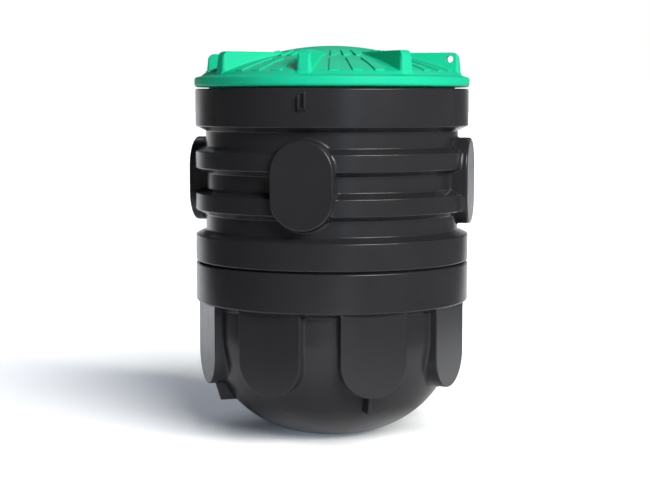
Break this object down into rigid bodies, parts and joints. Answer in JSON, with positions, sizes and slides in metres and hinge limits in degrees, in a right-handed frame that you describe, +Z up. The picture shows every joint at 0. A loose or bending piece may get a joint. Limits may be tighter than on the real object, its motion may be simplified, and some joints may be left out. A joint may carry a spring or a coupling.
{
  "type": "sewer inspection chamber",
  "caption": "Moulded plastic sewer inspection chamber: round-bottomed base with pipe pads, hooped riser ring with flat pads, and a domed ribbed lid that lifts off.",
  "frame": {"origin": "on the floor, under the middle of the base's flat foot", "axes": "+Z up the chamber's axis, -Y towards the clip and the first riser pad, +X to the holed lid rib"},
  "size_m": [1.132, 1.132, 1.561],
  "materials": {
    "black_plastic": "satin black polyethylene with a fine moulded skin",
    "green_plastic": "satin green polyethylene with a fine moulded skin",
    "seal_rubber": "dull black rubber"
  },
  "bodies": {
    "chamber": {"base_collar_1": "black_plastic", "base_collar_2": "black_plastic", "base_pad_1": "black_plastic", "base_pad_2": "black_plastic", "base_pad_3": "black_plastic", "base_pad_4": "black_plastic", "base_pad_5": "black_plastic", "base_pad_6": "black_plastic", "base_pad_7": "black_plastic", "base_pad_8": "black_plastic", "base_wall": "black_plastic", "base_foot": "black_plastic", "base_bowl_1": "black_plastic", "base_bowl_2": "black_plastic", "base_bowl_3": "black_plastic", "base_bowl_4": "black_plastic", "anchor_lugs": "black_plastic", "joint_seal": "seal_rubber", "riser_foot_collar_1": "black_plastic", "riser_foot_collar_2": "black_plastic", "riser_collar_1": "black_plastic", "riser_collar_2": "black_plastic", "riser_pad_1": "black_plastic", "riser_pad_2": "black_plastic", "riser_pad_3": "black_plastic", "riser_pad_4": "black_plastic", "riser_wall_1": "black_plastic", "riser_wall_2": "black_plastic", "riser_wall_3": "black_plastic", "riser_wall_4": "black_plastic", "collar_clip": "black_plastic"},
    "lid": {"lid_rib_1": "green_plastic", "lid_rib_2": "green_plastic", "lid_rib_3": "green_plastic", "lid_rib_4": "green_plastic", "lid_rib_5": "green_plastic", "lid_rib_6": "green_plastic", "lid_rib_7": "green_plastic", "lid_rib_8": "green_plastic", "lid_crown": "green_plastic", "lid_dome": "green_plastic", "lid_treads": "green_plastic", "lid_rim_1": "green_plastic", "lid_rim_2": "green_plastic", "lid_spigot_1": "green_plastic", "lid_spigot_2": "green_plastic"}
  },
  "joints": [
    {"name": "lid_lift", "type": "slide", "parent": "chamber", "child": "lid", "axis": [0, 0, 1], "range_m": [0, 0.35]}
  ]
}
